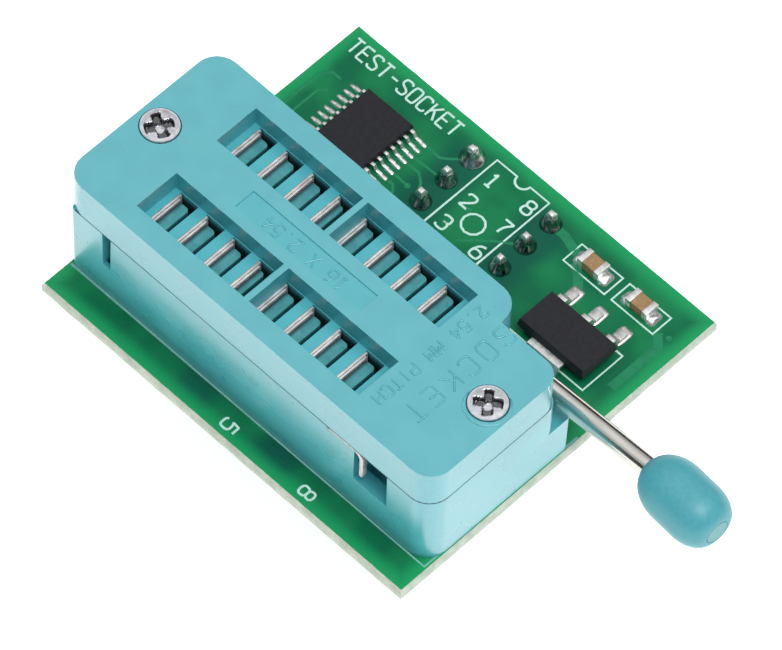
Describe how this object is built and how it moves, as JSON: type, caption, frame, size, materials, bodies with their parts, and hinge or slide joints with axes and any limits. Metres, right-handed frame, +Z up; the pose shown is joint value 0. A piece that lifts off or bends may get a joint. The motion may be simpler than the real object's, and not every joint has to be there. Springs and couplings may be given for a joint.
{
  "type": "zero insertion force socket adapter",
  "caption": "Lever-operated zero insertion force chip socket on a small green adapter board with a voltage regulator, a level shifter chip and a plug-in pin header.",
  "frame": {"origin": "bottom centre of the whole object's box: the height of the header pins' tips, below the middle of the box", "axes": "+X along the socket towards the lever's knob, +Y across the board towards the pin header, +Z up out of the socket's cover"},
  "size_m": [0.0492, 0.031, 0.0205],
  "materials": {
    "socket_plastic": "moulded, slightly satin",
    "slider_plastic": "moulded",
    "knob_plastic": "moulded, slightly satin",
    "solder_mask": "glossy coating over glass-fibre laminate",
    "steel": "plated, slightly worn",
    "contact_metal": "plated",
    "tin": "tinned",
    "black_plastic": "moulded",
    "ceramic": "fired"
  },
  "bodies": {
    "root": {"capacitor_1_body": "ceramic", "capacitor_1_end_left": "tin", "capacitor_1_end_right": "tin", "capacitor_2_body": "ceramic", "capacitor_2_end_left": "tin", "capacitor_2_end_right": "tin", "circuit_board": "solder_mask", "contact_01": "contact_metal", "contact_02": "contact_metal", "contact_03": "contact_metal", "contact_04": "contact_metal", "contact_05": "contact_metal", "contact_06": "contact_metal", "contact_07": "contact_metal", "contact_08": "contact_metal", "contact_09": "contact_metal", "contact_10": "contact_metal", "contact_11": "contact_metal", "contact_12": "contact_metal", "contact_13": "contact_metal", "contact_14": "contact_metal", "contact_15": "contact_metal", "contact_16": "contact_metal", "cover_screw_left": "steel", "cover_screw_right": "steel", "header_pin_1": "tin", "header_pin_2": "tin", "header_pin_3": "tin", "header_pin_4": "tin", "header_pin_5": "tin", "header_pin_6": "tin", "header_pin_7": "tin", "header_pin_8": "tin", "header_spacer_left": "black_plastic", "header_spacer_right": "black_plastic", "level_shifter_body": "black_plastic", "level_shifter_leads_left": "tin", "level_shifter_leads_right": "tin", "regulator_body": "black_plastic", "regulator_lead_left": "tin", "regulator_lead_right": "tin", "regulator_tab": "tin", "shaft_clip": "steel", "socket_base": "socket_plastic", "socket_cover": "socket_plastic"},
    "lever": {"lever_rod": "steel", "lever_knob": "knob_plastic"},
    "slider": {"contact_slider": "slider_plastic"}
  },
  "joints": [
    {"name": "lever_hinge", "type": "hinge", "parent": "root", "child": "lever", "pos_m": [0.00557, -0.00562, 0.01522], "axis": [0, -1, 0], "range_deg": [0, 87]},
    {"name": "slider_slide", "type": "slide", "parent": "root", "child": "slider", "axis": [1, 0, 0], "range_m": [0, 0.0003]}
  ],
  "couplings": [
    {"joint": "slider_slide", "follows": "lever_hinge", "m_per_rad": 0.000197}
  ]
}
